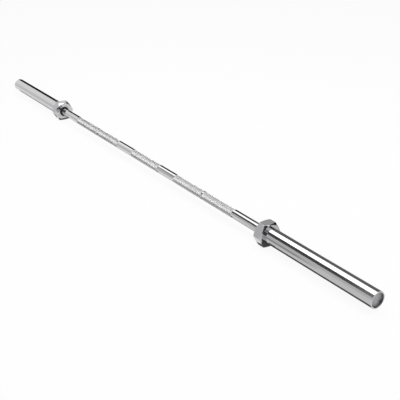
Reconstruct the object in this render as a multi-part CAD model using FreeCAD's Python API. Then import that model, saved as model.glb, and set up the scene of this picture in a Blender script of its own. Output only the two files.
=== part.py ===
import FreeCAD, Part

import math
import os

# Olympic barbell, millimetres. X runs along the bar, Z is up, the origin is the middle of the shaft.
# Each end is built once on the +X side and mirrored for the left.

# Driving lengths
overall_length = 2200.0
grip_length = 1296.0          # between the inner faces of the two hex collars
collar_width = 34.0

# Driving diameters
grip_diameter = 29.0
sleeve_diameter = 50.0
collar_across_flats = 72.0

# Shaft: knurled bands, ring marks and journals
centre_knurl_half = 87.0
grip_knurl_start = 190.0
grip_knurl_end = 510.0
ring_mark_place = 351.0
ring_mark_width = 6.0
knurl_height = 0.2
band_ramp = 1.0
shoulder_height = 2.0         # step from the grip down to the journal
shoulder_depth = 12.0         # how far the grip reaches in past the collar face
shoulder_chamfer = 0.6
shaft_end_chamfer = 1.5

# Hex collar
collar_corner_round = 1.4
collar_chamfer_angle = 34.0   # from the collar's end faces
collar_face_margin = 2.6      # how far inside the flats the chamfer starts
collar_seam_chamfer = 0.5     # open vee where the collar meets the tube's nose
collar_seat_step = 0.5        # the tube is turned down this much to carry the collar

# Sleeve tube
nose_length = 1.0             # stands proud of the collar's inner face
nose_round = 0.6
mouth_gap = 5.4               # dark ring between the grip and the tube
mouth_chamfer = 0.6
rim_wall = 3.6
rim_outer_chamfer = 0.6
rim_inner_chamfer = 0.5
cap_seat_step = 1.4
bush_stop_step = 1.6

# Dust seal
seal_recess = 0.8             # behind the nose face
seal_width = 4.0
seal_groove_depth = 1.2
seal_clearance = 0.1
seal_lip = 1.0

# Bushings and thrust washers
bush_wall = 4.45
bush_length = 30.0
bush_flange = 3.0
bush_edge = 0.5
running_clearance = 0.05
side_clearance = 0.3
axial_play = 0.2
washer_thickness = 2.5

# External retaining ring on the shaft
ring_thickness = 2.0
ring_groove_depth = 0.8
ring_seat_clearance = 0.05
ring_section = 3.6            # radial width opposite the gap
ring_offset = 0.7             # the section thins towards the gap
ring_gap = 4.0
ring_lug_radius = 2.4
ring_lug_hole = 1.1
end_land = 4.5

# End cap and its snap ring
cap_recess = 7.2
cap_thickness = 5.0
cap_fit = 0.1
cap_edge = 1.0
cap_gap = 6.0                 # grease space between the shaft's end and the cap
snap_thickness = 1.5
snap_section = 2.2            # radial width, about half of it in the groove
snap_groove_depth = 1.2
snap_gap_degrees = 22.0
snap_gap_place = 235.0        # where the ring's ends meet, about +X from +Y
snap_clearance = 0.05

# Radii that follow
grip_r = grip_diameter / 2
knurl_r = grip_r + knurl_height
ring_mark_r = grip_r - knurl_height
journal_r = grip_r - shoulder_height
sleeve_r = sleeve_diameter / 2
collar_seat_r = sleeve_r - collar_seat_step
mouth_r = grip_r + mouth_gap
seal_seat_r = mouth_r + seal_groove_depth
bush_bore_r = journal_r + running_clearance
bush_seat_r = bush_bore_r + bush_wall
middle_bore_r = bush_seat_r - bush_stop_step
cap_bore_r = sleeve_r - rim_wall
chamber_r = cap_bore_r - cap_seat_step
ring_groove_r = journal_r - ring_groove_depth
snap_groove_r = cap_bore_r + snap_groove_depth
snap_outer_r = snap_groove_r - snap_clearance

# Places along X, from the collar outwards
collar_inner = grip_length / 2
collar_outer = collar_inner + collar_width
nose_face = collar_inner - nose_length
seal_start = nose_face + seal_recess
seal_end = seal_start + seal_width
shoulder = collar_inner + shoulder_depth
inner_washer_end = shoulder + washer_thickness
inner_bush_start = inner_washer_end + axial_play
inner_bush_end = inner_bush_start + bush_length

# Places along X, from the sleeve's end inwards
sleeve_end = overall_length / 2
cap_face = sleeve_end - cap_recess
cap_seat = cap_face - cap_thickness
snap_start = cap_face + snap_clearance
snap_end = snap_start + snap_thickness
shaft_end = cap_seat - cap_gap
ring_end = shaft_end - end_land
ring_start = ring_end - ring_thickness
outer_washer_end = ring_start - axial_play
outer_washer_start = outer_washer_end - washer_thickness
chamber_floor = outer_washer_start - bush_flange
outer_bush_start = chamber_floor + bush_flange - bush_length

along_x = FreeCAD.Vector(1, 0, 0)
origin = FreeCAD.Vector(0, 0, 0)


def at(x, radius):
    return FreeCAD.Vector(x, 0, radius)


def turned(start, *steps, sweep=360.0):
    # Turns a closed outline of (x, radius) points about X.
    outline = Part.makePolygon([at(*point) for point in (start,) + steps + (start,)])
    return Part.Face(outline).revolve(origin, along_x, sweep)


def rod(radius, start, end, y=0.0, z=0.0):
    return Part.makeCylinder(radius, end - start, FreeCAD.Vector(start, y, z), along_x)


def shaft():
    mark_start = ring_mark_place - ring_mark_width / 2
    mark_end = ring_mark_place + ring_mark_width / 2
    half = turned(
        (0, 0),
        (0, knurl_r),
        (centre_knurl_half - band_ramp, knurl_r),
        (centre_knurl_half, grip_r),
        (grip_knurl_start, grip_r),
        (grip_knurl_start + band_ramp, knurl_r),
        (mark_start - band_ramp, knurl_r),
        (mark_start, ring_mark_r),
        (mark_end, ring_mark_r),
        (mark_end + band_ramp, knurl_r),
        (grip_knurl_end - band_ramp, knurl_r),
        (grip_knurl_end, grip_r),
        (shoulder - shoulder_chamfer, grip_r),
        (shoulder, grip_r - shoulder_chamfer),
        (shoulder, journal_r),
        (ring_start - ring_seat_clearance, journal_r),
        (ring_start - ring_seat_clearance, ring_groove_r),
        (ring_end + ring_seat_clearance, ring_groove_r),
        (ring_end + ring_seat_clearance, journal_r),
        (shaft_end - shaft_end_chamfer, journal_r),
        (shaft_end, journal_r - shaft_end_chamfer),
        (shaft_end, 0),
    )
    return half.fuse(mirrored(half)).removeSplitter()


def sleeve_tube():
    # The nose is broken by two cones that follow a quarter round.
    nose_break = nose_round * (1 - math.sqrt(0.5))
    return turned(
        (nose_face, collar_seat_r - nose_round),
        (nose_face + nose_break, collar_seat_r - nose_break),
        (nose_face + nose_round, collar_seat_r),
        (collar_outer, collar_seat_r),
        (collar_outer, sleeve_r),
        (sleeve_end - rim_outer_chamfer, sleeve_r),
        (sleeve_end, sleeve_r - rim_outer_chamfer),
        (sleeve_end, cap_bore_r + rim_inner_chamfer),
        (sleeve_end - rim_inner_chamfer, cap_bore_r),
        (snap_end + snap_clearance, cap_bore_r),
        (snap_end + snap_clearance, snap_groove_r),
        (snap_start - snap_clearance, snap_groove_r),
        (snap_start - snap_clearance, cap_bore_r),
        (cap_seat, cap_bore_r),
        (cap_seat, chamber_r),
        (chamber_floor, chamber_r),
        (chamber_floor, bush_seat_r),
        (outer_bush_start, bush_seat_r),
        (outer_bush_start, middle_bore_r),
        (inner_bush_end, middle_bore_r),
        (inner_bush_end, bush_seat_r),
        (inner_bush_start, bush_seat_r),
        (inner_bush_start, mouth_r),
        (seal_end, mouth_r),
        (seal_end, seal_seat_r),
        (seal_start, seal_seat_r),
        (seal_start, mouth_r),
        (nose_face + mouth_chamfer, mouth_r),
        (nose_face, mouth_r + mouth_chamfer),
    )


def hex_collar():
    # A six-sided prism, flat side down, cut by a cone at each end so its flats end in curved edges.
    corner_r = collar_across_flats / math.sqrt(3)
    corners = [
        FreeCAD.Vector(collar_inner, corner_r * math.cos(turn), corner_r * math.sin(turn))
        for turn in (math.radians(60 * side) for side in range(7))
    ]
    prism = Part.Face(Part.makePolygon(corners)).extrude(along_x * collar_width)
    long_edges = [edge for edge in prism.Edges if abs(edge.Length - collar_width) < 1e-6
                  and abs(edge.tangentAt(edge.FirstParameter).x) > 0.99]
    prism = prism.makeFillet(collar_corner_round, long_edges)
    face_r = collar_across_flats / 2 - collar_face_margin
    chamfer_depth = (corner_r - face_r) * math.tan(math.radians(collar_chamfer_angle))
    cones = turned(
        (collar_inner, collar_seat_r + collar_seam_chamfer),
        (collar_inner, face_r),
        (collar_inner + chamfer_depth, corner_r),
        (collar_outer - chamfer_depth, corner_r),
        (collar_outer, face_r),
        (collar_outer, collar_seat_r),
        (collar_inner + collar_seam_chamfer, collar_seat_r),
    )
    return prism.common(cones)


def dust_seal():
    lip_r = grip_r + seal_clearance
    return turned(
        (seal_start, seal_seat_r),
        (seal_end, seal_seat_r),
        (seal_end, lip_r + seal_lip),
        (seal_start + seal_width * 2 / 3, lip_r),
        (seal_start + seal_width / 3, lip_r),
        (seal_start, lip_r + seal_lip / 2),
    )


def thrust_washer(start, outer_r):
    return turned(
        (start, bush_bore_r + side_clearance),
        (start, outer_r),
        (start + washer_thickness, outer_r),
        (start + washer_thickness, bush_bore_r + side_clearance),
    )


def inner_thrust_washer():
    return thrust_washer(shoulder, min(bush_seat_r, mouth_r) - side_clearance)


def outer_thrust_washer():
    return thrust_washer(outer_washer_start, chamber_r - side_clearance)


def inner_bushing():
    return turned(
        (inner_bush_start + bush_edge, bush_bore_r),
        (inner_bush_start, bush_bore_r + bush_edge),
        (inner_bush_start, bush_seat_r),
        (inner_bush_end, bush_seat_r),
        (inner_bush_end, bush_bore_r + bush_edge),
        (inner_bush_end - bush_edge, bush_bore_r),
    )


def outer_bushing():
    flange_r = chamber_r - side_clearance
    return turned(
        (outer_bush_start + bush_edge, bush_bore_r),
        (outer_bush_start, bush_bore_r + bush_edge),
        (outer_bush_start, bush_seat_r),
        (chamber_floor, bush_seat_r),
        (chamber_floor, flange_r),
        (outer_washer_start, flange_r),
        (outer_washer_start, bush_bore_r + bush_edge),
        (outer_washer_start - bush_edge, bush_bore_r),
    )


def shaft_retaining_ring():
    # A sprung ring, widest opposite its gap, with a drilled lug on each side of the gap.
    bore_r = ring_groove_r + ring_seat_clearance
    body_r = bore_r + ring_section - ring_offset
    body = rod(body_r, ring_start, ring_end, z=ring_offset)
    lug_place_r = bore_r + ring_lug_radius
    lug_turn = math.asin((ring_gap / 2 + ring_lug_radius) / lug_place_r)
    lugs = [(lug_place_r * math.sin(turn), -lug_place_r * math.cos(turn)) for turn in (-lug_turn, lug_turn)]
    for y, z in lugs:
        body = body.fuse(rod(ring_lug_radius, ring_start, ring_end, y, z))
    reach = bore_r + ring_section + 2 * ring_lug_radius
    gap_corner = FreeCAD.Vector(ring_start, -ring_gap / 2, -reach)
    body = body.cut(Part.makeBox(ring_thickness, ring_gap, reach, gap_corner))
    body = body.cut(rod(bore_r, ring_start, ring_end))
    for y, z in lugs:
        body = body.cut(rod(ring_lug_hole, ring_start, ring_end, y, z))
    return body.removeSplitter()


def end_cap():
    cap_r = cap_bore_r - cap_fit
    return turned(
        (cap_seat, 0),
        (cap_seat, cap_r),
        (cap_face - cap_edge, cap_r),
        (cap_face, cap_r - cap_edge),
        (cap_face, 0),
    )


def cap_snap_ring():
    # Flat spring ring, half sunk in the tube's groove, open for a pick to lift it out.
    ring = turned(
        (snap_start, snap_outer_r),
        (snap_end, snap_outer_r),
        (snap_end, snap_outer_r - snap_section),
        (snap_start, snap_outer_r - snap_section),
        sweep=360.0 - snap_gap_degrees,
    )
    ring.rotate(origin, along_x, snap_gap_place + snap_gap_degrees / 2 - 90.0)
    return ring


def mirrored(shape):
    return shape.mirror(origin, along_x)


end_pieces = (
    sleeve_tube,
    hex_collar,
    dust_seal,
    inner_thrust_washer,
    inner_bushing,
    outer_bushing,
    outer_thrust_washer,
    shaft_retaining_ring,
    end_cap,
    cap_snap_ring,
)

os.makedirs("parts", exist_ok=True)
shaft().exportStep("parts/shaft.step")
for piece in end_pieces:
    solid = piece()
    solid.exportStep(f"parts/right_{piece.__name__}.step")
    mirrored(solid).exportStep(f"parts/left_{piece.__name__}.step")
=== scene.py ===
import math
import bpy
from mathutils import Matrix, Vector


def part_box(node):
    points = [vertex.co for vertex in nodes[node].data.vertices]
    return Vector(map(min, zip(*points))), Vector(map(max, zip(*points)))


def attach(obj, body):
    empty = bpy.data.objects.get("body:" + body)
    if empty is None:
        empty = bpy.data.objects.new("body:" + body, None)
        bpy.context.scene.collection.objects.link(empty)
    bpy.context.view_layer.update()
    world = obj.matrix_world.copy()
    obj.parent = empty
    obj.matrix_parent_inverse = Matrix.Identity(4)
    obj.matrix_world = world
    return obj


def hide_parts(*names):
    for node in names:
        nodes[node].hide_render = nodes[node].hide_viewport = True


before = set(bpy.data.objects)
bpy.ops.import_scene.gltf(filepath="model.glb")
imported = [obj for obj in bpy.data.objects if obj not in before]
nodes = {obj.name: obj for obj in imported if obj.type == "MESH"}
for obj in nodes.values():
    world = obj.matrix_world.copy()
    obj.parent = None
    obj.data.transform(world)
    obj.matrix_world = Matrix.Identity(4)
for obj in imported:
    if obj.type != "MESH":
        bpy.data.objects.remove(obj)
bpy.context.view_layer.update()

mm = 0.001
flips = {"left": -1, "right": 1}  # both ends are made from the right one's sizes, the left one mirrored
print("frame loaded:", len(nodes), "nodes")


# places and radii, read from the right end of the frame
def spanX(node):
    low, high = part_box(node)
    return low.x, high.x


def reach(node):
    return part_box(node)[1].y


collarIn, collarOut = spanX("right_hex_collar")
noseX, sleeveEnd = spanX("right_sleeve_tube")
sealIn, sealOut = spanX("right_dust_seal")
shoulderX = spanX("right_inner_thrust_washer")[0]  # the washer lies against the shaft's shoulder
bushIn, bushInEnd = spanX("right_inner_bushing")
bushOut, bushOutEnd = spanX("right_outer_bushing")
ringX, ringEnd = spanX("right_shaft_retaining_ring")
capSeat, capFace = spanX("right_end_cap")
snapX, snapEnd = spanX("right_cap_snap_ring")
shaftEnd = spanX("shaft")[1]
pointR = reach("shaft")  # tips of the knurl's teeth
sleeveR = reach("right_sleeve_tube")
bushSeatR = reach("right_inner_bushing")
sealSeatR = reach("right_dust_seal")
capR = reach("right_end_cap")
snapOuterR = reach("right_cap_snap_ring")
flatR = -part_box("right_hex_collar")[0].z  # from the axis to a flat of the hexagon
floorZ = -flatR  # the bar lies on a flat of each collar


# mesh helpers
meshLook = dict(sharpDeg=50, straightDeg=165, easeSteps=3, easeShare=0.4, noLength=1e-9, onAxis=1e-7,
                largeFaces=100)


def meshObject(name, points, faces, sharpDeg=None):
    mesh = bpy.data.meshes.new(name)
    mesh.from_pydata([tuple(p) for p in points], [], faces)
    mesh.update()
    mesh.polygons.foreach_set("use_smooth", [True] * len(mesh.polygons))
    if sharpDeg:
        mesh.set_sharp_from_angle(angle=math.radians(sharpDeg))
    made = bpy.data.objects.new(name, mesh)
    bpy.context.scene.collection.objects.link(made)
    return made


def easeCorners(outline, ease, closed):
    # swaps each sharp corner of an outline for a short curve, so edges catch the light
    look = meshLook
    count, steps = len(outline), look["easeSteps"]
    eased = []
    for i, corner in enumerate(outline):
        here = Vector(corner)
        before = Vector(outline[i - 1]) - here
        after = Vector(outline[(i + 1) % count]) - here
        shorter = min(before.length, after.length)
        openEnd = not closed and i in (0, count - 1)
        if openEnd or shorter < look["noLength"] or before.angle(after) > math.radians(look["straightDeg"]):
            eased.append(here)
            continue
        cut = min(ease, shorter * look["easeShare"])
        start, end = here + before.normalized() * cut, here + after.normalized() * cut
        for k in range(steps + 1):
            t = k / steps
            eased.append(start * (1 - t) ** 2 + here * 2 * t * (1 - t) + end * t ** 2)
    return eased


def ringPoints(x, r, around, shift=0):
    turns = [2 * math.pi * (k + shift) / around for k in range(around)]
    return [(x, r * math.cos(a), r * math.sin(a)) for a in turns]


def turned(name, outline, around, ease, closed, flip=1):
    # turns an outline of (x, radius) about the bar's axis; an open outline starts and ends on the axis
    points, rows, faces = [], [], []
    for x, r in easeCorners(outline, ease, closed):
        start = len(points)
        if r < meshLook["onAxis"]:
            rows.append([start] * around)
            points.append((flip * x, 0, 0))
        else:
            rows.append(list(range(start, start + around)))
            points += ringPoints(flip * x, r, around)
    following = rows[1:] + rows[:1] if closed else rows[1:]
    for low, high in zip(rows, following):
        for k in range(around):
            n = (k + 1) % around
            corners = [low[k], low[n], high[n], high[k]]
            face = [c for j, c in enumerate(corners) if c != corners[j - 1]]  # three corners at the axis
            faces.append(face[::-1] if flip > 0 else face)
    return meshObject(name, points, faces, meshLook["sharpDeg"])


def placed(piece, body, material, node):
    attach(piece, body)
    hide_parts(node)
    piece.data.materials.append(material)
    weighted = piece.modifiers.new("flatNormals", "WEIGHTED_NORMAL")
    weighted.keep_sharp = True
    weighted.weight = meshLook["largeFaces"]


# shader helpers
mixColours = dict(a=6, b=7, result=2)  # the mix node's sockets for colours


def feed(tree, socket, value):
    if isinstance(value, bpy.types.NodeSocket):
        tree.links.new(value, socket)
    else:
        socket.default_value = value


def addNode(tree, kind, values=None, **settings):
    node = tree.nodes.new(kind)
    for key, value in settings.items():
        setattr(node, key, value)
    for key, value in (values or {}).items():
        feed(tree, node.inputs[key], value)
    return node


def mathOf(tree, operation, a, b=0.0, c=0.0, clamp=False):
    node = addNode(tree, "ShaderNodeMath", {0: a, 1: b, 2: c}, operation=operation, use_clamp=clamp)
    return node.outputs[0]


def blendOf(tree, share, a, b):
    mix = addNode(tree, "ShaderNodeMix", {"Factor": share}, data_type="RGBA")
    for key, colour in (("a", a), ("b", b)):
        value = colour if isinstance(colour, bpy.types.NodeSocket) else (*colour, 1)
        feed(tree, mix.inputs[mixColours[key]], value)
    return mix.outputs[mixColours["result"]]


def rangeOf(tree, value, span, result=(0.0, 1.0)):
    # takes a value from one span to another and holds it at the ends
    node = addNode(tree, "ShaderNodeMapRange", {"Value": value, "From Min": span[0], "From Max": span[1],
                                                "To Min": result[0], "To Max": result[1]})
    return node.outputs[0]


def noiseOf(tree, place, scale, detail, roughness=0.5):
    node = addNode(tree, "ShaderNodeTexNoise", {"Vector": place, "Scale": scale, "Detail": detail,
                                                "Roughness": roughness})
    return node.outputs[0]


def lineNoiseOf(tree, place, scale, detail):
    node = addNode(tree, "ShaderNodeTexNoise", {"W": place, "Scale": scale, "Detail": detail},
                   noise_dimensions="1D")
    return node.outputs[0]


def placeInObject(tree):
    return addNode(tree, "ShaderNodeTexCoord").outputs["Object"]


def axesOf(tree):
    return addNode(tree, "ShaderNodeSeparateXYZ", {0: placeInObject(tree)}).outputs


def radiusOf(tree):
    axes = axesOf(tree)
    squares = [mathOf(tree, "MULTIPLY", axes[axis], axes[axis]) for axis in "YZ"]
    return mathOf(tree, "SQRT", mathOf(tree, "ADD", *squares))


def newGroup(name, inputs, outputs):
    group = bpy.data.node_groups.new(name, "ShaderNodeTree")
    for label, value in inputs.items():
        socket = group.interface.new_socket(label, in_out="INPUT", socket_type="NodeSocketFloat")
        socket.default_value = value
    for label in outputs:
        group.interface.new_socket(label, in_out="OUTPUT", socket_type="NodeSocketFloat")
    given = group.nodes.new("NodeGroupInput").outputs
    result = group.nodes.new("NodeGroupOutput").inputs
    return group, given, result


# fine rings left by the lathe: bands that change only along the bar
turningLook = dict(detail=3.0, broadScale=0.06, broadDetail=2.0)


def makeTurningMarks():
    look = turningLook
    inputs = {"Marks per metre": 900.0, "Unevenness": 0.6}
    group, given, result = newGroup("turningMarks", inputs, ("Height",))
    along = axesOf(group)["X"]
    fine = lineNoiseOf(group, along, given["Marks per metre"], look["detail"])
    broadMarks = mathOf(group, "MULTIPLY", given["Marks per metre"], look["broadScale"])
    broad = lineNoiseOf(group, along, broadMarks, look["broadDetail"])
    uneven = mathOf(group, "MULTIPLY", broad, given["Unevenness"])
    group.links.new(mathOf(group, "ADD", fine, uneven), result["Height"])
    return group


# rings about the axis, as on a faced disc
facingLook = dict(detail=4.0)


def makeFacingMarks():
    group, given, result = newGroup("facingMarks", {"Marks per metre": 2500.0}, ("Height",))
    ring = lineNoiseOf(group, radiusOf(group), given["Marks per metre"], facingLook["detail"])
    group.links.new(ring, result["Height"])
    return group


# scuffs that run mostly round the bar, as plates leave them, with an overall haze from handling
scuffLook = dict(detail=5.0, roughness=0.65, span=(0.56, 0.72), hazeScale=9.0, hazeDetail=4.0)


def makeScuffs():
    look = scuffLook
    inputs = {"Scale": 60.0, "Stretch": 14.0, "Amount": 0.5}
    group, given, result = newGroup("scuffs", inputs, ("Mask", "Haze"))
    place = placeInObject(group)
    stretch = addNode(group, "ShaderNodeCombineXYZ", {"X": given["Stretch"], "Y": 1.0, "Z": 1.0}).outputs[0]
    drawn = addNode(group, "ShaderNodeVectorMath", {0: place, 1: stretch}, operation="MULTIPLY").outputs[0]
    lines = noiseOf(group, drawn, given["Scale"], look["detail"], look["roughness"])
    sharp = rangeOf(group, lines, look["span"])
    haze = noiseOf(group, place, look["hazeScale"], look["hazeDetail"])
    group.links.new(mathOf(group, "MULTIPLY", sharp, given["Amount"], clamp=True), result["Mask"])
    group.links.new(haze, result["Haze"])
    return group


# how deep a point lies between two radii: 1 at the low one, 0 at the high one
def makeGrooveDepth():
    group, given, result = newGroup("grooveDepth", {"Low radius": 0.014, "High radius": 0.0147}, ("Depth",))
    depth = rangeOf(group, radiusOf(group), (given["High radius"], given["Low radius"]))
    group.links.new(depth, result["Depth"])
    return group


turningMarks, facingMarks = makeTurningMarks(), makeFacingMarks()
scuffs, grooveDepth = makeScuffs(), makeGrooveDepth()
print("shader groups made")


def startMaterial(name, metallic, roughness):
    material = bpy.data.materials.new(name)
    material.use_nodes = True
    tree = material.node_tree
    shader = tree.nodes["Principled BSDF"]
    shader.inputs["Metallic"].default_value = metallic
    shader.inputs["Roughness"].default_value = roughness
    return material, tree, shader


def groupNode(tree, group, values):
    return addNode(tree, "ShaderNodeGroup", values, node_tree=group).outputs


def scuffsOn(tree, look):
    return groupNode(tree, scuffs, {"Scale": look["scuffScale"], "Stretch": look["scuffStretch"],
                                    "Amount": look["scuffs"]})


def depthBetween(tree, low, high):
    return groupNode(tree, grooveDepth, {"Low radius": low, "High radius": high})["Depth"]


def spreadRough(tree, pattern, spread, rough):
    # roughness that a pattern from 0 to 1 moves about its middle value
    return mathOf(tree, "MULTIPLY_ADD", pattern, spread, rough - spread / 2)


def bumpFrom(tree, shader, height, look):
    bump = addNode(tree, "ShaderNodeBump", {"Height": height, "Strength": look["bump"],
                                            "Distance": look["bumpDepth"]})
    tree.links.new(bump.outputs[0], shader.inputs["Normal"])


def plating(name, look):
    # bright plate over turned steel: fine rings, scuffs and a slight haze, and where given, painted shade in
    # the bore
    material, tree, shader = startMaterial(name, 1.0, look["rough"])
    marks = groupNode(tree, turningMarks, {"Marks per metre": look["marks"], "Unevenness": look["uneven"]})
    worn = scuffsOn(tree, look)
    colour = blendOf(tree, worn["Mask"], look["colour"], look["scuffColour"])
    if "boreShadeColour" in look:
        # painted shade: the bore is darkened inside the tube, where the open end's recess lies in shade
        deep = depthBetween(tree, look["boreLow"], look["boreHigh"])
        outward = rangeOf(tree, mathOf(tree, "ABSOLUTE", axesOf(tree)["X"]), look["boreSpan"])
        colour = blendOf(tree, mathOf(tree, "MULTIPLY", deep, outward), colour, look["boreShadeColour"])
    hazed = spreadRough(tree, worn["Haze"], look["haze"], look["rough"])
    rough = mathOf(tree, "MULTIPLY_ADD", worn["Mask"], look["scuffRough"], hazed, clamp=True)
    tree.links.new(colour, shader.inputs["Base Color"])
    tree.links.new(rough, shader.inputs["Roughness"])
    bumpFrom(tree, shader, marks["Height"], look)
    return material


def knurlPlating(name, look):
    # plate on cut teeth: points painted brighter than the plate elsewhere, as painted light, over duller,
    # darker grooves, partly dirt and partly painted shade
    material, tree, shader = startMaterial(name, 1.0, look["rough"])
    depth = depthBetween(tree, look["low"], look["high"])
    worn = scuffsOn(tree, look)
    # painted light on the points; the grooves' darker colour is partly dirt, partly painted shade
    colour = blendOf(tree, depth, look["paintedLightPointColour"], look["grooveDirtAndShadeColour"])
    hazed = spreadRough(tree, worn["Haze"], look["haze"], look["rough"])
    rough = mathOf(tree, "MULTIPLY_ADD", depth, look["grooveRough"], hazed)
    tree.links.new(blendOf(tree, worn["Mask"], colour, look["scuffColour"]), shader.inputs["Base Color"])
    tree.links.new(rough, shader.inputs["Roughness"])
    return material


def facedSteel(name, look):
    # steel faced on a lathe: rings about the axis in colour, gloss and surface
    material, tree, shader = startMaterial(name, 1.0, look["rough"])
    rings = groupNode(tree, facingMarks, {"Marks per metre": look["marks"]})["Height"]
    worn = scuffsOn(tree, look)
    colour = blendOf(tree, rangeOf(tree, rings, look["tintSpan"]), look["dark"], look["light"])
    tree.links.new(blendOf(tree, worn["Mask"], colour, look["scuffColour"]), shader.inputs["Base Color"])
    tree.links.new(spreadRough(tree, rings, look["roughSpread"], look["rough"]), shader.inputs["Roughness"])
    bumpFrom(tree, shader, rings, look)
    return material


grainLook = dict(detail=6.0, roughness=0.6, tintSpan=(0.35, 0.65))


def grainy(name, look):
    # cast or moulded stuff: fine grain in colour, gloss and surface
    material, tree, shader = startMaterial(name, look["metallic"], look["rough"])
    grain = noiseOf(tree, placeInObject(tree), look["scale"], grainLook["detail"], grainLook["roughness"])
    tint = rangeOf(tree, grain, grainLook["tintSpan"])
    tree.links.new(blendOf(tree, tint, look["dark"], look["light"]), shader.inputs["Base Color"])
    tree.links.new(spreadRough(tree, grain, look["roughSpread"], look["rough"]), shader.inputs["Roughness"])
    bumpFrom(tree, shader, grain, look)
    return material


sleevePlate = plating("sleevePlate", dict(
    colour=(0.60, 0.60, 0.61), rough=0.10, haze=0.05,
    marks=900.0, uneven=0.6, bump=0.10, bumpDepth=0.02 * mm,
    scuffs=0.5, scuffScale=60.0, scuffStretch=14.0, scuffRough=0.10, scuffColour=(0.52, 0.52, 0.53),
    boreShadeColour=(0.25, 0.25, 0.25), boreLow=21.5 * mm, boreHigh=21.9 * mm,  # painted shade: the bore inside the tube is darker, for the open end's recess
    boreSpan=(0.70, 0.72)))  # from here outwards, so the nose keeps its plate
collarPlate = plating("collarPlate", dict(
    colour=(0.58, 0.58, 0.59), rough=0.08, haze=0.05,
    marks=500.0, uneven=0.6, bump=0.03, bumpDepth=0.02 * mm,
    scuffs=0.4, scuffScale=90.0, scuffStretch=3.0, scuffRough=0.06, scuffColour=(0.50, 0.50, 0.51)))
shaftPlate = plating("shaftPlate", dict(
    colour=(0.60, 0.60, 0.61), rough=0.10, haze=0.05,
    marks=1200.0, uneven=0.6, bump=0.06, bumpDepth=0.02 * mm,
    scuffs=0.4, scuffScale=70.0, scuffStretch=10.0, scuffRough=0.10, scuffColour=(0.54, 0.54, 0.55)))
# points lifted above the plate's colour as painted light; grooves darker, partly dirt and partly painted
# shade
knurlPlate = knurlPlating("knurlPlate", dict(
    paintedLightPointColour=(0.91, 0.91, 0.92), grooveDirtAndShadeColour=(0.57, 0.57, 0.57), low=14.23 * mm, high=14.7 * mm,
    rough=0.34, haze=0.08, grooveRough=0.15,
    scuffs=0.3, scuffScale=40.0, scuffStretch=2.0, scuffColour=(0.72, 0.72, 0.72)))
capSteel = facedSteel("capSteel", dict(
    dark=(0.48, 0.48, 0.49), light=(0.56, 0.56, 0.57), tintSpan=(0.3, 0.7), rough=0.66, roughSpread=0.14,
    marks=2500.0, bump=0.12, bumpDepth=0.02 * mm,
    scuffs=0.4, scuffScale=80.0, scuffStretch=1.0, scuffColour=(0.42, 0.42, 0.43)))
washerSteel = facedSteel("washerSteel", dict(
    dark=(0.48, 0.48, 0.49), light=(0.60, 0.60, 0.61), tintSpan=(0.3, 0.7), rough=0.32, roughSpread=0.12,
    marks=3500.0, bump=0.12, bumpDepth=0.02 * mm,
    scuffs=0.4, scuffScale=80.0, scuffStretch=1.0, scuffColour=(0.38, 0.38, 0.39)))
oiledBronze = grainy("oiledBronze", dict(
    metallic=1.0, dark=(0.40, 0.24, 0.10), light=(0.66, 0.44, 0.20), rough=0.36, roughSpread=0.2,
    scale=1800.0, bump=0.2, bumpDepth=0.05 * mm))
springSteel = grainy("springSteel", dict(
    metallic=1.0, dark=(0.40, 0.40, 0.41), light=(0.52, 0.52, 0.53), rough=0.4, roughSpread=0.2,
    scale=900.0, bump=0.15, bumpDepth=0.03 * mm))
sealRubber = grainy("sealRubber", dict(
    metallic=0.0, dark=(0.010, 0.010, 0.011), light=(0.022, 0.022, 0.023), rough=0.62, roughSpread=0.2,
    scale=700.0, bump=0.25, bumpDepth=0.05 * mm))
print("materials made")


# shaft: one turned bar with journals, ring grooves and a bed under each knurled band
shaftLook = dict(
    around=128, ease=0.25 * mm, journalR=12.5 * mm, grooveR=11.7 * mm,
    endChamfer=1.5 * mm, shoulderChamfer=0.6 * mm,
    gripDrop=0.2 * mm, markDrop=0.4 * mm, bedDrop=0.7 * mm)  # how far below the teeth's tips
# knurled bands and ring marks, measured from the bar's middle
bands = dict(centre=87 * mm, gripIn=190 * mm, gripOut=510 * mm, mark=351 * mm, markWidth=6 * mm)
knurlLook = dict(
    teethAround=60, lean=30.0, depth=0.52 * mm, footDrop=0.2 * mm,
    top=0.2)  # flat top, as a share of the tooth
knurlNames = ("knurlLeftOut", "knurlLeftIn", "knurlCentre", "knurlRightIn", "knurlRightOut")
gripR = pointR - shaftLook["gripDrop"]  # plain stretches of the bar
bedR = pointR - shaftLook["bedDrop"]


def bandSpans():
    # the five stretches that carry teeth, left to right
    markIn, markOut = bands["mark"] - bands["markWidth"] / 2, bands["mark"] + bands["markWidth"] / 2
    right = [(bands["gripIn"], markIn), (markOut, bands["gripOut"])]
    left = [(-high, -low) for low, high in reversed(right)]
    return left + [(-bands["centre"], bands["centre"])] + right


def plainR(x):
    # radius of the plain stretch beside a band's end: a ring mark lies deeper than the grip
    besideMark = abs(abs(x) - bands["mark"]) < bands["markWidth"]
    return pointR - shaftLook["markDrop"] if besideMark else gripR


def makeShaft():
    look = shaftLook
    journalR, grooveR = look["journalR"], look["grooveR"]
    middle = []
    for low, high in bandSpans():
        middle += [(low, plainR(low)), (low, bedR), (high, bedR), (high, plainR(high))]
    rightEnd = [
        (shoulderX - look["shoulderChamfer"], gripR), (shoulderX, gripR - look["shoulderChamfer"]),
        (shoulderX, journalR), (ringX, journalR), (ringX, grooveR), (ringEnd, grooveR), (ringEnd, journalR),
        (shaftEnd - look["endChamfer"], journalR), (shaftEnd, journalR - look["endChamfer"]), (shaftEnd, 0)]
    leftEnd = [(-x, r) for x, r in reversed(rightEnd)]
    bar = turned("shaftBar", leftEnd + middle + rightEnd, look["around"], look["ease"], False)
    placed(bar, "shaft", shaftPlate, "shaft")


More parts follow.
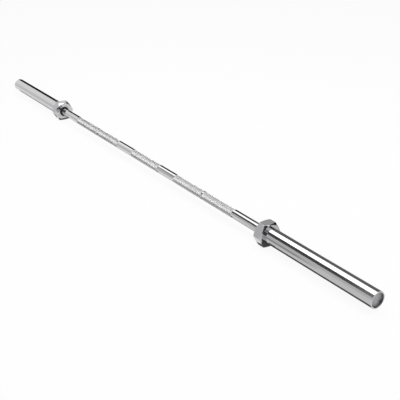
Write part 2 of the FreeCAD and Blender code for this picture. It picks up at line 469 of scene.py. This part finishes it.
def makeKnurl(name, low, high):
    # rows of flat-topped four-sided teeth on a diamond lattice, whose corners lie in the grooves
    look = knurlLook
    around, top = look["teethAround"], look["top"]
    tooth = 2 * math.pi * pointR / around / math.tan(math.radians(look["lean"]))
    rows = 2 * round((high - low) / tooth)
    points, faces = [], []

    def ring(x, r, shift):
        start = len(points)
        points.extend(ringPoints(x, r, around, shift))
        return list(range(start, start + around))

    xs = [low + (high - low) * j / rows for j in range(rows + 1)]
    corners = [ring(x, pointR - look["depth"], (j % 2) / 2) for j, x in enumerate(xs)]
    reachX = top * (xs[1] - xs[0])  # half the length of a tooth's flat top
    for j in range(1, rows):
        x, shift = xs[j], ((j + 1) % 2) / 2
        tops = [ring(x - reachX, pointR, shift), ring(x, pointR, shift - top / 2),
                ring(x + reachX, pointR, shift), ring(x, pointR, shift + top / 2)]
        for i in range(around):
            below, above = (i - 1, i) if j % 2 else (i, (i + 1) % around)
            foot = (corners[j - 1][i], corners[j][below], corners[j + 1][i], corners[j][above])
            crown = tuple(row[i] for row in tops)
            faces.append(crown)
            for n in range(4):
                after = (n + 1) % 4
                faces.append((crown[n], foot[n], foot[after], crown[after]))
    # half teeth and a wall down into the bed at each end
    for edge, near, x, last in ((corners[0], corners[1], low, False), (corners[-1], corners[-2], high, True)):
        base = ring(x, bedR - look["footDrop"], 0)
        for i in range(around):
            n = (i + 1) % around
            half, wall = (edge[i], near[i], edge[n]), (edge[i], edge[n], base[n], base[i])
            faces += [half[::-1], wall[::-1]] if last else [half, wall]
    band = meshObject(name, points, faces)
    band.data.polygons.foreach_set("use_smooth", [False] * len(faces))
    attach(band, "shaft")
    band.data.materials.append(knurlPlate)


makeShaft()
for name, (low, high) in zip(knurlNames, bandSpans()):
    makeKnurl(name, low, high)
print("shaft and knurl made")


# sleeve tube, with the bores that hold the seal, the bushings and the cap
tubeLook = dict(
    around=128, ease=0.3 * mm, seatStep=0.5 * mm, noseRound=0.6 * mm, noseSteps=5, mouthGap=5.4 * mm,
    mouthChamfer=0.6 * mm, wall=3.6 * mm, outChamfer=0.6 * mm, inChamfer=0.5 * mm, capStep=1.4 * mm,
    bushStep=1.6 * mm, flange=3.0 * mm, slack=0.05 * mm)
collarSeatR = sleeveR - tubeLook["seatStep"]


def makeTube(side, flip):
    look = tubeLook
    mouthR, boreR = gripR + look["mouthGap"], sleeveR - look["wall"]
    chamberR, middleR = boreR - look["capStep"], bushSeatR - look["bushStep"]
    chamberX = bushOutEnd - look["flange"]
    grooveR, grooveIn, grooveOut = snapOuterR + look["slack"], snapX - look["slack"], snapEnd + look["slack"]
    nose = []
    for k in range(look["noseSteps"], -1, -1):
        a = math.pi / 2 * k / look["noseSteps"]
        nose.append((noseX + look["noseRound"] * (1 - math.sin(a)),
                     collarSeatR - look["noseRound"] * (1 - math.cos(a))))
    outside = [
        (collarOut, collarSeatR), (collarOut, sleeveR), (sleeveEnd - look["outChamfer"], sleeveR),
        (sleeveEnd, sleeveR - look["outChamfer"])]
    capEnd = [
        (sleeveEnd, boreR + look["inChamfer"]), (sleeveEnd - look["inChamfer"], boreR), (grooveOut, boreR),
        (grooveOut, grooveR), (grooveIn, grooveR), (grooveIn, boreR), (capSeat, boreR), (capSeat, chamberR)]
    bushSeats = [
        (chamberX, chamberR), (chamberX, bushSeatR), (bushOut, bushSeatR), (bushOut, middleR),
        (bushInEnd, middleR), (bushInEnd, bushSeatR), (bushIn, bushSeatR), (bushIn, mouthR)]
    mouth = [
        (sealOut, mouthR), (sealOut, sealSeatR), (sealIn, sealSeatR), (sealIn, mouthR),
        (noseX + look["mouthChamfer"], mouthR), (noseX, mouthR + look["mouthChamfer"])]
    outline = nose + outside + capEnd + bushSeats + mouth
    tube = turned(side + "Tube", outline, look["around"], look["ease"], True, flip)
    placed(tube, side + "_sleeve", sleevePlate, side + "_sleeve_tube")


# hex collar: flats and rounded corners cut by a cone at each end, so the flats end in curved edges
collarLook = dict(
    cornerRound=1.4 * mm, coneAngle=34.0, faceMargin=2.6 * mm, seamChamfer=0.5 * mm, ease=0.35 * mm,
    flatSteps=18, roundSteps=6)


def hexTurns():
    # (turn, radius) pairs round the hexagon, closer together over its corners
    look = collarLook
    rounding, side = look["cornerRound"], math.pi / 3
    middleR = (flatR - rounding) / math.cos(side / 2)  # where a corner's rounding has its middle
    edgeTurn = math.atan(rounding / 2 / (middleR + rounding * math.cos(side / 2)))
    pairs = []
    for corner in range(6):
        for k in range(look["roundSteps"] + 1):
            d = edgeTurn * (2 * k / look["roundSteps"] - 1)
            r = middleR * math.cos(d) + math.sqrt(rounding ** 2 - (middleR * math.sin(d)) ** 2)
            pairs.append((corner * side + d, r))
        for k in range(1, look["flatSteps"]):
            d = edgeTurn + (side - 2 * edgeTurn) * k / look["flatSteps"]
            pairs.append((corner * side + d, flatR / math.cos(side / 2 - d)))
    return pairs


def makeCollar(side, flip):
    look = collarLook
    seam, faceR = look["seamChamfer"], flatR - look["faceMargin"]
    points, faces, count = [], [], 0
    for turn, r in hexTurns():
        cone = (r - faceR) * math.tan(math.radians(look["coneAngle"]))
        outline = [
            (collarIn + seam, collarSeatR), (collarIn, collarSeatR + seam), (collarIn, faceR),
            (collarIn + cone, r), (collarOut - cone, r), (collarOut, faceR), (collarOut, collarSeatR)]
        line = easeCorners(outline, look["ease"], True)
        count = len(line)
        points += [(flip * x, q * math.cos(turn), q * math.sin(turn)) for x, q in line]
    for start in range(0, len(points), count):
        after = (start + count) % len(points)
        for k in range(count):
            n = (k + 1) % count
            face = (start + k, start + n, after + n, after + k)
            faces.append(face if flip > 0 else face[::-1])
    collar = meshObject(side + "Collar", points, faces, meshLook["sharpDeg"])
    placed(collar, side + "_sleeve", collarPlate, side + "_hex_collar")


sealLook = dict(around=96, slack=0.1 * mm, lip=1.0 * mm, ease=0.2 * mm)


def makeSeal(side, flip):
    look = sealLook
    lipR, third = gripR + look["slack"], (sealOut - sealIn) / 3
    outline = [
        (sealIn, sealSeatR), (sealOut, sealSeatR), (sealOut, lipR + look["lip"]), (sealOut - third, lipR),
        (sealIn + third, lipR), (sealIn, lipR + look["lip"] / 2)]
    seal = turned(side + "Seal", outline, look["around"], look["ease"], True, flip)
    placed(seal, side + "_sleeve", sealRubber, side + "_dust_seal")


capLook = dict(around=96, edge=1.0 * mm, ease=0.25 * mm)


def makeCap(side, flip):
    look = capLook
    edge = look["edge"]
    outline = [(capSeat, 0), (capSeat, capR), (capFace - edge, capR), (capFace, capR - edge), (capFace, 0)]
    cap = turned(side + "Cap", outline, look["around"], look["ease"], False, flip)
    placed(cap, side + "_sleeve", capSteel, side + "_end_cap")


snapLook = dict(steps=110, section=2.2 * mm, gap=22.0, gapPlace=235.0, ease=0.25 * mm, sharpDeg=40)


def makeSnapRing(side, flip):
    # a flat ring with a gap, half sunk in the tube's groove
    look = snapLook
    steps, innerR = look["steps"], snapOuterR - look["section"]
    outline = [(snapX, snapOuterR), (snapEnd, snapOuterR), (snapEnd, innerR), (snapX, innerR)]
    line = easeCorners(outline, look["ease"], True)
    points, faces, count = [], [], len(line)
    for k in range(steps + 1):
        a = math.radians(look["gapPlace"] + look["gap"] / 2 + (360 - look["gap"]) * k / steps)
        points += [(flip * x, r * math.cos(a), r * math.sin(a)) for x, r in line]
    for low in range(0, steps * count, count):
        for i in range(count):
            n = (i + 1) % count
            faces.append((low + i, low + n, low + count + n, low + count + i))
    firstEnd, lastEnd = tuple(range(count)), tuple(range(steps * count, (steps + 1) * count))
    faces += [firstEnd[::-1], lastEnd]
    if flip < 0:
        faces = [face[::-1] for face in faces]
    ring = meshObject(side + "SnapRing", points, faces, look["sharpDeg"])
    placed(ring, side + "_sleeve", springSteel, side + "_cap_snap_ring")


for side, flip in flips.items():
    makeTube(side, flip)
    makeCollar(side, flip)
    makeSeal(side, flip)
    makeCap(side, flip)
    makeSnapRing(side, flip)
print("sleeves made")


# pieces inside the sleeves keep their CAD shape
inside = {
    "inner_thrust_washer": (washerSteel, "washer_steel"),
    "outer_thrust_washer": (washerSteel, "washer_steel"),
    "inner_bushing": (oiledBronze, "bushing_bronze"),
    "outer_bushing": (oiledBronze, "bushing_bronze"),
    "shaft_retaining_ring": (springSteel, "spring_steel"),
}
for side in flips:
    for kind, (material, slotName) in inside.items():
        node = nodes[f"{side}_{kind}"]
        node.data.materials.clear()
        node.data.materials.append(material)
print("inner pieces coloured")


# studio: white floor and surround, one long soft lamp above, and cards that only show in the metal; the dark
# ones under the bar are painted shadow, and the one brighter than white is a painted highlight
def plainMaterial(name, colour):
    material, tree, shader = startMaterial(name, 0.0, 1.0)
    shader.inputs["Base Color"].default_value = (*colour, 1)
    shader.inputs["Specular IOR Level"].default_value = 0.0
    return material, tree, shader


def seenDirectly(tree):
    # 1 for rays that show the background: to the camera, in metal or through glass
    rays = addNode(tree, "ShaderNodeLightPath").outputs
    share = mathOf(tree, "MAXIMUM", rays["Is Camera Ray"], rays["Is Glossy Ray"])
    return mathOf(tree, "MAXIMUM", share, rays["Is Transmission Ray"])


def sheetMesh(name, corners, material):
    made = meshObject(name, corners, [tuple(range(len(corners)))])
    made.data.materials.append(material)
    return made


def upright(x0, x1, z0, z1, y):
    return [(x0, y, z0), (x1, y, z0), (x1, y, z1), (x0, y, z1)]


def lying(x0, x1, y0, y1, z):
    return [(x0, y0, z), (x1, y0, z), (x1, y1, z), (x0, y1, z)]


floorLook = dict(half=30.0, colour=(0.9, 0.9, 0.9), white=0.93)  # white: share that shows as plain white


def makeFloor():
    look = floorLook
    material, tree, shader = plainMaterial("floorWhite", look["colour"])
    glow = addNode(tree, "ShaderNodeEmission", {"Color": (1, 1, 1, 1), "Strength": 1.0})
    share = mathOf(tree, "MULTIPLY", seenDirectly(tree), look["white"])
    mix = addNode(tree, "ShaderNodeMixShader", {0: share, 1: shader.outputs[0], 2: glow.outputs[0]})
    tree.links.new(mix.outputs[0], tree.nodes["Material Output"].inputs["Surface"])
    half = look["half"]
    sheetMesh("floor", lying(-half, half, -half, half, floorZ), material)


worldLook = dict(fill=0.45)  # its light on matt surfaces; seen or mirrored, the surround is white


def makeWorld():
    world = bpy.data.worlds.new("surround")
    bpy.context.scene.world = world
    world.use_nodes = True
    tree = world.node_tree
    sky = tree.nodes["Background"]
    sky.inputs["Color"].default_value = (1, 1, 1, 1)
    fill = worldLook["fill"]
    tree.links.new(mathOf(tree, "MULTIPLY_ADD", seenDirectly(tree), 1 - fill, fill), sky.inputs["Strength"])


# a card has one brightness, or runs from one to another over a span along a direction
backY, frontY, rightX, farX = 1.4, -3, 4, -9
overBackY, slantY = backY - 5 * mm, backY - 10 * mm  # before the back cards
lowZ = floorZ + 0.4 * mm
overZ, underZ = lowZ + 0.1 * mm, lowZ - 0.1 * mm  # floor cards that overlap others
alongX, alongY, alongZ = (1, 0, 0), (0, 1, 0), (0, 0, 1)
cards = {
    # behind the bar
    "cardBack": dict(corners=upright(-1.0, 0.4, lowZ, 2.3, backY),
                     along=alongZ, span=(1.5, 2.3), glow=(0.15, 0.95)),
    "cardBackLeft": dict(corners=upright(farX, -1.0, lowZ, 2.7, backY),
                         along=alongZ, span=(1.9, 2.7), glow=(0.0, 0.95)),
    "cardBackDark": dict(corners=upright(-5.2, -3.3, 1.28, 2.95, overBackY),
                         along=alongZ, span=(2.25, 2.95), glow=(0.0, 0.9)),
    "cardBackSlant": dict(corners=[(-5.4, slantY, 2.42), (-4.9, slantY, 2.42),
                                   (-6.4, slantY, 3.47), (-6.95, slantY, 3.47)],
                          along=alongZ, span=(3.1, 3.47), glow=(0.0, 0.8)),
    "cardBackPatch": dict(corners=upright(-1.1, -0.83, 1.02, 1.28, overBackY), glow=0.5),
    "cardBackFar": dict(corners=upright(-3.82, -3.58, 1.02, 1.28, overBackY), glow=0.95),
    "cardBackRight": dict(corners=[(0.95, backY, 0.05), (2.9, backY, 0.05),
                                   (2.9, backY, 1.7), (0.95, backY, 0.75)], glow=0.02),
    # at the near end and above
    "cardRight": dict(corners=[(rightX, -2.2, lowZ), (rightX, 1.0, lowZ),
                               (rightX, 1.0, 2.6), (rightX, -2.2, 2.6)], glow=0.06),
    "cardHighRight": dict(corners=[(2.45, -0.379, 2.15), (3.6, -0.379, 2.15),
                                   (3.6, -1.95, 1.067), (2.45, -1.95, 1.067)], glow=0.08),
    # glows brighter than white yet lights nothing: a painted highlight seen only in the metal
    "cardTopLeft": dict(corners=[(-3.75, -0.65, 2.25), (-1.5, -0.65, 2.25),
                                 (-1.5, 1.12, 2.25), (-3.75, 1.25, 2.25)],
                        along=alongX, span=(-3.75, -2.6), glow=(1.1, 1.75)),
    "cardHigh": dict(corners=[(-3.0, -0.379, 2.15), (-0.5, -0.768, 2.15),
                              (-0.5, -1.858, 1.17), (-3.0, -1.78, 1.293)],
                     along=alongX, span=(-3.0, -1.9), glow=(1.0, 0.08)),
    "cardHighNear": dict(corners=[(-0.5, -0.768, 2.15), (1.6, -1.095, 2.15),
                                  (1.6, -1.924, 1.067), (-0.5, -1.858, 1.17)],
                         along=alongX, span=(-0.46, -0.34), glow=(0.08, 0.25)),
    # in front
    "cardFront": dict(corners=upright(-8, 1.2, lowZ, 1.9, frontY),
                      along=alongX, span=(-8, -4.5), glow=(0.9, 0.66)),
    "cardFrontRight": dict(corners=upright(1.2, 7, lowZ, 2.4, frontY),
                           along=alongX, span=(1.2, 2.0), glow=(0.7, 0.08)),
    # on the floor behind the bar
    "cardFloorBack": dict(corners=lying(-0.34, 1.1, 0.035, backY, lowZ),
                          along=alongX, span=(0.4, 0.65), glow=(0.05, 0.45)),
    "cardFloorBackFar": dict(corners=lying(farX, -0.66, 0.035, backY, lowZ), glow=0.0),
    "cardBesideCollar": dict(corners=lying(0.64, 0.79, 0.035, 0.5, overZ), glow=0.75),
    # on the floor under the bar: painted shadow, dark sheets where the bar's shadow falls, seen only in the
    # metal
    "paintedShadowUnderNear": dict(corners=lying(0.687, 1.1, -0.033, 0.03, lowZ), glow=0.08),
    "paintedShadowUnderFar": dict(corners=lying(-1.1, -0.683, -0.033, 0.03, lowZ), glow=0.4),
    # painted shadow under the shaft, darker towards the collar
    "paintedShadowUnderShaft": dict(corners=lying(-0.6, 0.6, -0.02, 0.002, lowZ),
                           along=alongX, span=(0.3, 0.6), glow=(0.75, 0.45)),
    "paintedShadowUnderKnurlLeft": dict(corners=lying(-0.545, -0.235, -0.04, 0.002, overZ), glow=0.1),
    "paintedShadowUnderKnurlCentre": dict(corners=lying(-0.118, 0.055, -0.04, 0.002, overZ), glow=0.2),
    "paintedShadowUnderKnurlRight": dict(corners=lying(0.165, 0.485, -0.04, 0.002, overZ), glow=0.08),
    "paintedShadowUnderBack": dict(corners=lying(-0.545, 0.6, 0.002, 0.035, lowZ), glow=0.2),
    "paintedShadowUnderCollar": dict(corners=[(0.6, -0.0205, lowZ), (0.687, -0.0295, lowZ),
                                     (0.687, 0.03, lowZ), (0.6, 0.03, lowZ)], glow=0.1),
    "paintedShadowUnderCorner": dict(corners=lying(0.676, 0.704, -0.04, -0.024, lowZ), glow=0.1),
    "paintedShadowUnderCollarFar": dict(corners=lying(-0.66, -0.628, -0.03, 0.045, lowZ), glow=0.15),
    # on the floor in front
    "cardFloor": dict(corners=lying(0.5, 1.2, -0.6, -0.033, underZ), glow=0.8),
    "cardFloorLeft": dict(corners=[(farX, -2.9, underZ), (0.3, -2.9, underZ),
                                   (0.5, -0.1, underZ), (farX, -0.1, underZ)],
                          along=alongY, span=(-0.6, -0.1), glow=(0.68, 0.9)),
    "cardStreak": dict(corners=[(-0.76, -1.6, lowZ), (-0.2, -1.6, lowZ),
                                (0.84, -0.095, lowZ), (0.55, -0.095, lowZ)],
                       along=(0.787, -0.617, 0), span=(0.64, 0.75), glow=(0.38, 0.8)),
}


def makeCards():
    for name, card in cards.items():
        material, tree, shader = plainMaterial(name, (0, 0, 0))
        glow = shader.inputs["Emission Color"]
        if "span" in card:
            place = addNode(tree, "ShaderNodeVectorMath", {0: placeInObject(tree), 1: card["along"]},
                            operation="DOT_PRODUCT").outputs["Value"]
            tree.links.new(rangeOf(tree, place, card["span"], card["glow"]), glow)
        else:
            glow.default_value = (card["glow"], card["glow"], card["glow"], 1)
        shader.inputs["Emission Strength"].default_value = 1.0
        sheet = sheetMesh(name, card["corners"], material)
        sheet.visible_camera = sheet.visible_diffuse = False
        sheet.visible_shadow = sheet.visible_transmission = False


lampLook = dict(place=(0.5, 0.24, 2.25), size=(4.0, 2.13), glow=1.8)


def makeLamp():
    lamp = bpy.data.lights.new("softLamp", "AREA")
    lamp.shape = "RECTANGLE"
    lamp.size, lamp.size_y = lampLook["size"]
    lamp.energy = lampLook["glow"] * math.pi * lamp.size * lamp.size_y
    made = bpy.data.objects.new("softLamp", lamp)
    made.location = lampLook["place"]
    bpy.context.scene.collection.objects.link(made)


cameraLook = dict(place=(2.2035, -1.3232, 1.0776), turn=54.81, height=25.647, lens=70.696, sensor=36.0)


def makeCamera():
    look = cameraLook
    turn, height = math.radians(look["turn"]), math.radians(look["height"])
    back = Vector((math.sin(turn) * math.cos(height), -math.cos(turn) * math.cos(height), math.sin(height)))
    data = bpy.data.cameras.new("mainCamera")
    data.lens, data.sensor_width = look["lens"], look["sensor"]
    made = bpy.data.objects.new("mainCamera", data)
    facing = (-back).to_track_quat("-Z", "Y").to_matrix().to_4x4()
    made.matrix_world = Matrix.Translation(look["place"]) @ facing
    bpy.context.scene.collection.objects.link(made)
    bpy.context.scene.camera = made


makeFloor()
makeWorld()
makeCards()
makeLamp()
makeCamera()
bpy.context.scene.view_settings.view_transform = "Standard"
print("studio made")
